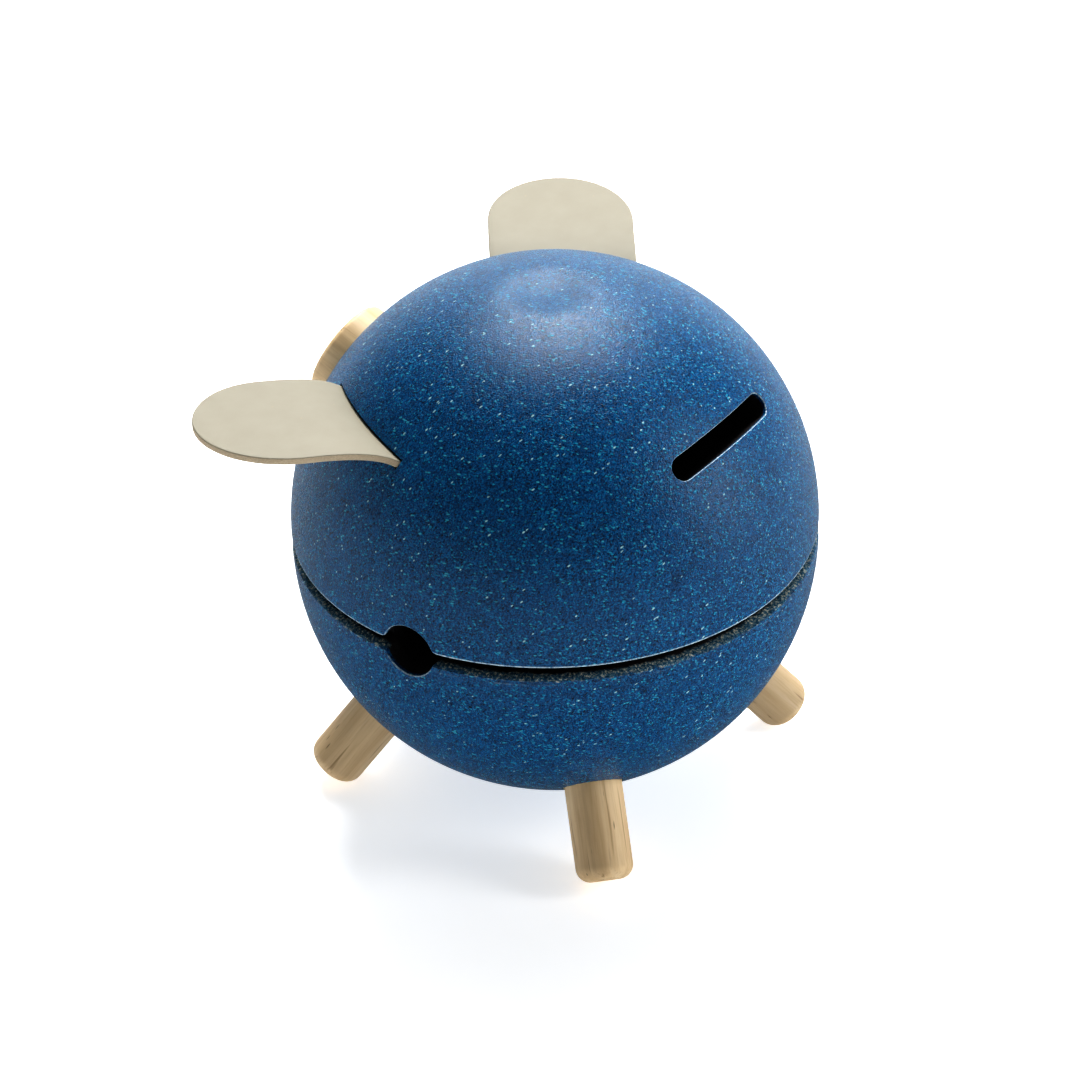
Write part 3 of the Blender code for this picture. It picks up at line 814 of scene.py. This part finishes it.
def composite_material(name, half, rough_band):
    """Pressed, dyed sawdust under a satin lacquer.

    half is 1 for the upper half and -1 for the lower. rough_band is (low, high, fade): the heights
    about the seam between which the lacquer is missing. Below the skin, the stuff is bare and painted
    near-black as shade.
    """
    n = Nodes(name)
    plain = n.place()
    colour, relief = pressed_fibres(n, plain)
    from_centre = n.place(shift=(0, 0, -half * HALF_OFFSET))
    radius = n.add("VectorMath", {0: from_centre}, operation="LENGTH").outputs["Value"]
    height = n.add("SeparateXYZ", {0: plain}).outputs["Z"]
    deep = n.ease(radius, BALL_RADIUS - PAINTED_SHADE_DEPTH, BALL_RADIUS - PAINTED_SHADE_DEPTH * 0.6, 1.0, 0.0)
    below_dimple = n.ease(height, DIMPLE_ZONE, DIMPLE_ZONE + 0.0005, 1.0, 0.0)
    inside = n.math("MULTIPLY", deep, below_dimple)
    wander = n.math("MULTIPLY", n.math("SUBTRACT", n.noise(plain, 500, 3, 0.7), 0.5), 0.0016)
    low, high, fade = rough_band
    bare = n.math("MULTIPLY", n.ease(n.math("ADD", height, wander), low, low + fade),
                  n.ease(height, high, high + fade, 1.0, 0.0))
    outer = n.ease(n.math("ADD", radius, wander), BALL_RADIUS - 0.0023, BALL_RADIUS - 0.0015)
    # Pale edges: partly worn lacquer, partly a painted highlight on the rim's lip and the cut edges
    colour = n.mix(wear_and_highlight_share(n, half, plain, radius, height, below_dimple), colour, PALE_WEAR_AND_HIGHLIGHT)
    # Painted shade: below the skin the colour turns near-black, standing for the shade in the cuts and
    # inside the shell
    colour = n.mix(inside, colour, n.ramp(n.noise(plain, 1900, 3, 0.7), INSIDE_PAINTED_SHADES))
    # Rough seam band: real pale crumbs, lightened in part as painted light where the upper half's overhang
    # shades the ledge
    crumbs_and_painted_light = n.ramp(n.noise(plain, 1700, 4, 0.75), CRUMBS_AND_PAINTED_LIGHT)
    colour = n.mix(n.math("MULTIPLY", n.math("MULTIPLY", bare, outer), 0.9), colour, crumbs_and_painted_light)
    satin = n.ease(n.noise(plain, 2400, 2, 0.6), 0.38, 0.62, 0.48, 0.16)
    rough = n.ease(n.math("MAXIMUM", bare, inside), 0.0, 1.0, satin, 0.85)
    normal = n.bump(relief, 0.00012, 0.5)
    normal = n.bump(n.cells(plain, 3700)[0], 0.00012, 0.4, under=normal)
    normal = n.bump(n.noise(plain, 3600, 2, 0.6), 0.00007, 0.6, under=normal)
    normal = n.bump(n.noise(plain, 170, 2, 0.5), 0.0002, 0.25, under=normal)
    return n.set(Base_Color=colour, Roughness=rough, Normal=normal, IOR=1.5, Specular_IOR_Level=0.38)


def wood_material(name, local, shift, tone_and_light=1.0):
    """Light, open-grained wood; the grain runs along Z of the piece's local frame.

    shift moves the pattern, so that no two pieces are alike.
    """
    n = Nodes(name)

    # The scale on the wood's colour is partly painted light, set per piece for how the light falls on it
    def tint(*shade):
        return tuple(channel * tone_and_light for channel in shade)

    along = n.place((1, 1, 0.045), shift, local)
    wavy = n.place((1, 1, 0.12), shift, local)
    fine = n.noise(along, 2600, 3, 0.6)
    broad = n.noise(along, 420, 3, 0.55)
    cloud = n.noise(wavy, 130, 2, 0.5)
    colour = n.ramp(broad, [(0.34, tint(0.55, 0.400, 0.225)), (0.54, tint(0.66, 0.500, 0.300)),
                            (0.72, tint(0.72, 0.570, 0.380))])
    colour = n.mix(n.ease(fine, 0.50, 0.72, 0.0, 0.45), colour, tint(0.46, 0.315, 0.165))
    colour = n.mix(n.ease(cloud, 0.42, 0.68, 0.0, 0.40), colour, tint(0.53, 0.380, 0.215))
    streak = n.ease(n.noise(along, 700, 2, 0.5), 0.63, 0.70, 0.0, 0.70)
    colour = n.mix(streak, colour, tint(0.30, 0.185, 0.090))
    distance, chance = n.cells(n.place((1, 1, 0.16), shift, local), 1500)
    pit = n.math("MULTIPLY", n.math("GREATER_THAN", chance, 0.93), n.ease(distance, 0.10, 0.28, 1.0, 0.0))
    colour = n.mix(n.math("MULTIPLY", pit, 0.7), colour, (0.13, 0.072, 0.034))
    rough = n.ease(fine, 0.3, 0.7, 0.48, 0.62)
    normal = n.bump(fine, 0.00005, 0.5)
    normal = n.bump(n.math("SUBTRACT", 1.0, pit), 0.00012, 0.7, under=normal)
    return n.set(Base_Color=colour, Roughness=rough, Normal=normal, IOR=1.5)


def leather_material(name):
    """Matte cream sheet with a fine pressed grain, and tan fibre on its cut edges."""
    n = Nodes(name)
    plain = n.place()
    mottle = n.noise(plain, 190, 3, 0.5)
    colour = n.ramp(mottle, [(0.30, (0.309, 0.284, 0.219)), (0.70, (0.326, 0.301, 0.234))])
    distance, chance = n.cells(plain, 900)
    speck = n.math("MULTIPLY", n.math("GREATER_THAN", chance, 0.996), n.ease(distance, 0.1, 0.3, 0.3, 0.0))
    colour = n.mix(speck, colour, (0.42, 0.33, 0.22))
    normal_z = n.add("SeparateXYZ", {0: n.add("TexCoord").outputs["Normal"]}).outputs["Z"]
    edge = n.ease(n.math("ABSOLUTE", normal_z), 0.30, 0.55, 1.0, 0.0)
    fibre = n.ramp(n.noise(n.place(scale=(1, 1, 2.5)), 2200, 3, 0.7),
                   [(0.3, (0.400, 0.325, 0.225)), (0.7, (0.560, 0.480, 0.360))])
    colour = n.mix(edge, colour, fibre)
    rough = n.ease(edge, 0.0, 1.0, 0.60, 0.85)
    pebble = n.add("TexVoronoi", {"Vector": plain, "Scale": 2000.0}, feature="SMOOTH_F1").outputs["Distance"]
    normal = n.bump(pebble, 0.00002, 0.35)
    normal = n.bump(n.noise(plain, 5200, 2, 0.6), 0.00001, 0.4, under=normal)
    return n.set(Base_Color=colour, Roughness=rough, Normal=normal, IOR=1.45)


def ring_shade_material(name):
    """Unlacquered composite, painted near-black as shade, hardly seen inside the seam."""
    n = Nodes(name)
    plain = n.place()
    colour = n.ramp(n.noise(plain, 1500, 4, 0.7),
                    [(0.3, (0.006, 0.006, 0.008)), (0.7, (0.020, 0.021, 0.026))])
    normal = n.bump(n.noise(plain, 2400, 3, 0.7), 0.0001, 0.7)
    return n.set(Base_Color=colour, Roughness=0.8, Normal=normal, IOR=1.5)


def floor_material():
    n = Nodes("studio_floor")
    shade = n.ramp(n.noise(n.place(), 6, 2, 0.5), [(0.3, (0.90, 0.90, 0.90)), (0.7, (0.93, 0.93, 0.93))])
    return n.set(Base_Color=shade, Roughness=0.7, Emission_Color=(1, 1, 1, 1), Emission_Strength=0.45)


# ---------------------------------------------------------------- studio

def make_floor():
    size = FLOOR_HALF_SIZE
    corners = [(-size, -size), (size, -size), (size, size), (-size, size)]
    floor = skin("studio_floor", [[(x, y, height) for x, y in corners] for height in (0, -FLOOR_THICKNESS)])
    floor.data.materials.append(floor_material())
    floor.visible_glossy = False


def aim(item, target):
    item.rotation_euler = (target - item.location).to_track_quat("-Z", "Y").to_euler()


def softbox(name, azimuth, elevation, distance, size, strength):
    """Rectangular area light that looks at the ball's middle."""
    light = bpy.data.lights.new(name, "AREA")
    light.shape = "RECTANGLE"
    light.size, light.size_y = size
    light.energy = strength * size[0] * size[1] * math.pi
    lamp = bpy.data.objects.new(name, light)
    bpy.context.scene.collection.objects.link(lamp)
    lamp.location = MIDDLE + azimuth_direction(math.radians(azimuth), math.radians(elevation)) * distance
    aim(lamp, MIDDLE)


def make_world():
    """Dim grey room. Below the horizon it is the pale floor, as glossy surfaces see it."""
    world = bpy.data.worlds.new("studio_world")
    world.use_nodes = True
    tree = world.node_tree
    direction = tree.nodes.new("ShaderNodeTexCoord").outputs["Generated"]
    split = tree.nodes.new("ShaderNodeSeparateXYZ")
    tree.links.new(direction, split.inputs[0])
    place = tree.nodes.new("ShaderNodeMapRange")
    tree.links.new(split.outputs["Z"], place.inputs["Value"])
    place.inputs["From Min"].default_value = -1.0
    ramp = tree.nodes.new("ShaderNodeValToRGB")
    tree.links.new(place.outputs[0], ramp.inputs[0])
    elements = ramp.color_ramp.elements
    while len(elements) < len(ROOM_SHADES):
        elements.new(0.5)
    for element, (height, shade) in zip(elements, ROOM_SHADES):
        element.position = (height + 1) / 2
        element.color = (shade, shade, shade, 1)
    tree.links.new(ramp.outputs[0], tree.nodes["Background"].inputs["Color"])
    return world


def make_lights():
    for name, placing in SOFTBOXES.items():
        softbox(name, *placing)
    bpy.context.scene.world = make_world()


def make_camera():
    direction = azimuth_direction(CAMERA_AZIMUTH, CAMERA_ELEVATION)
    level = Vector((0, 0, 1)).cross(direction).normalized()
    upright = direction.cross(level)
    place = MIDDLE + direction * CAMERA_DISTANCE
    target = MIDDLE + level * CAMERA_AIM[0] + upright * CAMERA_AIM[1]
    back = (place - target).normalized()
    right = Vector((0, 0, 1)).cross(back).normalized()
    above = back.cross(right)
    turn_right = math.cos(CAMERA_ROLL) * right + math.sin(CAMERA_ROLL) * above
    turn_above = math.cos(CAMERA_ROLL) * above - math.sin(CAMERA_ROLL) * right
    data = bpy.data.cameras.new("camera")
    data.lens = CAMERA_LENS
    data.sensor_width = 36
    data.clip_start = 0.01
    camera = bpy.data.objects.new("camera", data)
    bpy.context.scene.collection.objects.link(camera)
    camera.matrix_world = frame_matrix(turn_right, turn_above, back, place)
    bpy.context.scene.camera = camera
    bpy.context.scene.view_settings.view_transform = "Standard"
    bpy.context.scene.view_settings.look = "High Contrast"


# ---------------------------------------------------------------- build

def build():
    make_camera()
    make_lights()
    make_floor()
    seam_low = LEDGE_EDGE_Z - 0.0004
    lower_blue = composite_material("blue_composite_lower", -1, (seam_low, 0.01, 0.0005))
    upper_blue = composite_material("blue_composite_upper", 1, (-0.01, UPPER_RIM_Z - 0.0002, 0.0003))
    finish_piece(make_upper_half(), "upper_shell", upper_blue)
    finish_piece(make_lower_half(), "lower_shell", lower_blue)
    # The ring's near-black colour is painted shade for the dark inside the seam
    finish_piece(make_ring(), "locating_ring", ring_shade_material("ring_painted_shade"))
    # Painted light: the snout's wood colour is scaled up by 1.38 so that it looks more brightly lit
    snout_wood = wood_material("snout_wood", snout_matrix(), (0.013, 0.004, 0.0), 1.38)
    finish_piece(make_snout(), "snout", snout_wood)
    for index, (name, azimuth) in enumerate(LEG_AZIMUTHS.items()):
        shift = (0.05 + 0.021 * index, 0.03 * index, 0.01 * index)
        # Partly painted light: each leg's wood colour is scaled up or down for how the light falls on that
        # leg
        leg_wood = wood_material(name + "_wood", leg_matrix(azimuth), shift, LEG_TONES_AND_LIGHT[index])
        finish_piece(make_leg(name, azimuth), name, leg_wood)
    leather = leather_material("cream_leather")
    for name, side in (("left_ear", 1), ("right_ear", -1)):
        finish_piece(make_ear(name, side), name, leather)


build()

bpy.context.view_layer.update()
